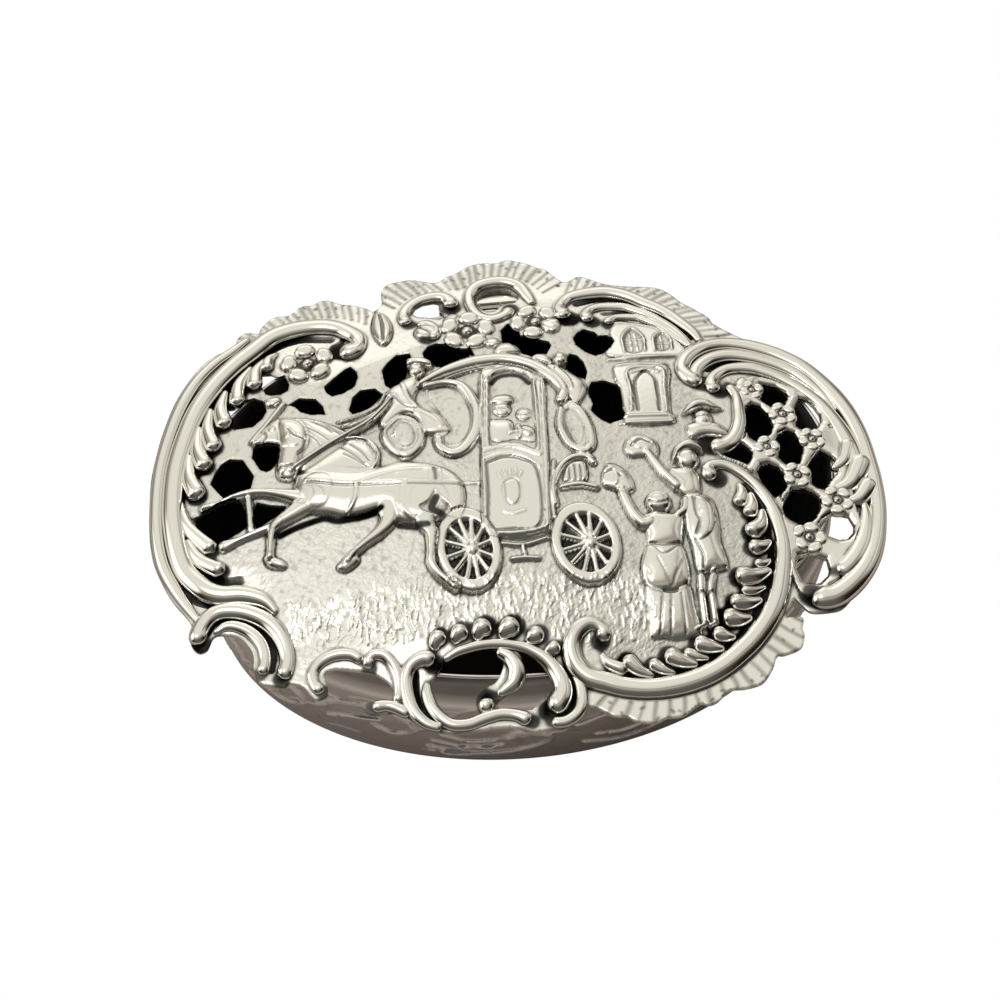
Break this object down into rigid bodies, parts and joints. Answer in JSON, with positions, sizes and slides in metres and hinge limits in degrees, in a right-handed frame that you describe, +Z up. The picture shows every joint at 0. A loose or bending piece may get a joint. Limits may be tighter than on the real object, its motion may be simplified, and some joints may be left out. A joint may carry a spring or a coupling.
{
  "type": "hinged lidded box",
  "caption": "Oval silver box with an overhanging pierced and chased lid on a five-knuckle hinge, a plain collar and an embossed tapering body.",
  "frame": {"origin": "centre of the flat underside, in the plane the box stands on", "axes": "+X along the box to the lid's lattice end, +Y back to the hinge, +Z up through the lid"},
  "size_m": [0.1691, 0.1337, 0.0536],
  "materials": {
    "silver": "polished silver, darkened in the recesses",
    "shaded_silver": "polished silver with a light tarnish",
    "tarnished_silver": "tarnished silver"
  },
  "bodies": {
    "body": {"body_wall": "shaded_silver", "base_disc": "tarnished_silver", "mouth_wire": "silver", "body_hinge_leaf": "shaded_silver", "knuckle_1": "shaded_silver", "knuckle_3": "shaded_silver", "knuckle_5": "shaded_silver", "hinge_pin": "silver"},
    "lid": {"lid_cover": "silver", "lid_hinge_leaf": "shaded_silver", "knuckle_2": "shaded_silver", "knuckle_4": "shaded_silver"}
  },
  "joints": [
    {"name": "lid_hinge", "type": "hinge", "parent": "body", "child": "lid", "pos_m": [0, 0.05443, 0.04066], "axis": [-1, 0, 0], "range_deg": [0, 95]}
  ]
}
